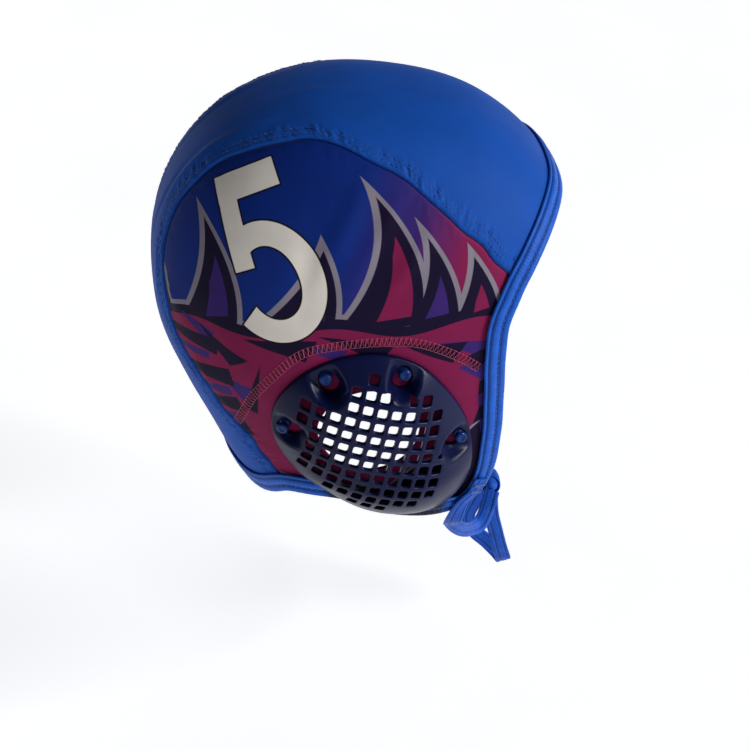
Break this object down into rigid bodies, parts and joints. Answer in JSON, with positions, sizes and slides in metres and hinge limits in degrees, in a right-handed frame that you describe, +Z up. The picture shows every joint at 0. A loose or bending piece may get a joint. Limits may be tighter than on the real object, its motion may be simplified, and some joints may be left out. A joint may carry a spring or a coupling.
{
  "type": "water polo cap",
  "caption": "Soft cloth cap with side panels, folded edge binding, pierced domed ear guards pegged over ear holes and chin ties in a bow, kept in its worn form.",
  "frame": {"origin": "inner top of the crown, where a head holds the cap", "axes": "+Z up the head, -Y towards the face, -X to the wearer's right; the overall height with the hanging ties is the longest extent"},
  "size_m": [0.181, 0.1722, 0.2603],
  "materials": {
    "crown_cloth": "satin knit, blue",
    "side_cloth": "printed satin knit, blue to purple to crimson",
    "binding_tape": "folded stretch tape, blue",
    "guard_plastic": "glossy moulded plastic, navy",
    "peg_plastic": "glossy moulded plastic, blue",
    "tie_tape": "flat woven tape, blue"
  },
  "bodies": {
    "root": {"crown_panel": "crown_cloth", "side_panel_right": "side_cloth", "side_panel_left": "side_cloth", "edge_binding": "binding_tape", "ear_guard_right": "guard_plastic", "ear_guard_left": "guard_plastic", "knot": "tie_tape", "tie_right": "tie_tape", "tie_left": "tie_tape", "bow_loop": "tie_tape", "peg_right_1": "peg_plastic", "peg_right_2": "peg_plastic", "peg_right_3": "peg_plastic", "peg_right_4": "peg_plastic", "peg_left_1": "peg_plastic", "peg_left_2": "peg_plastic", "peg_left_3": "peg_plastic", "peg_left_4": "peg_plastic"}
  },
  "joints": []
}
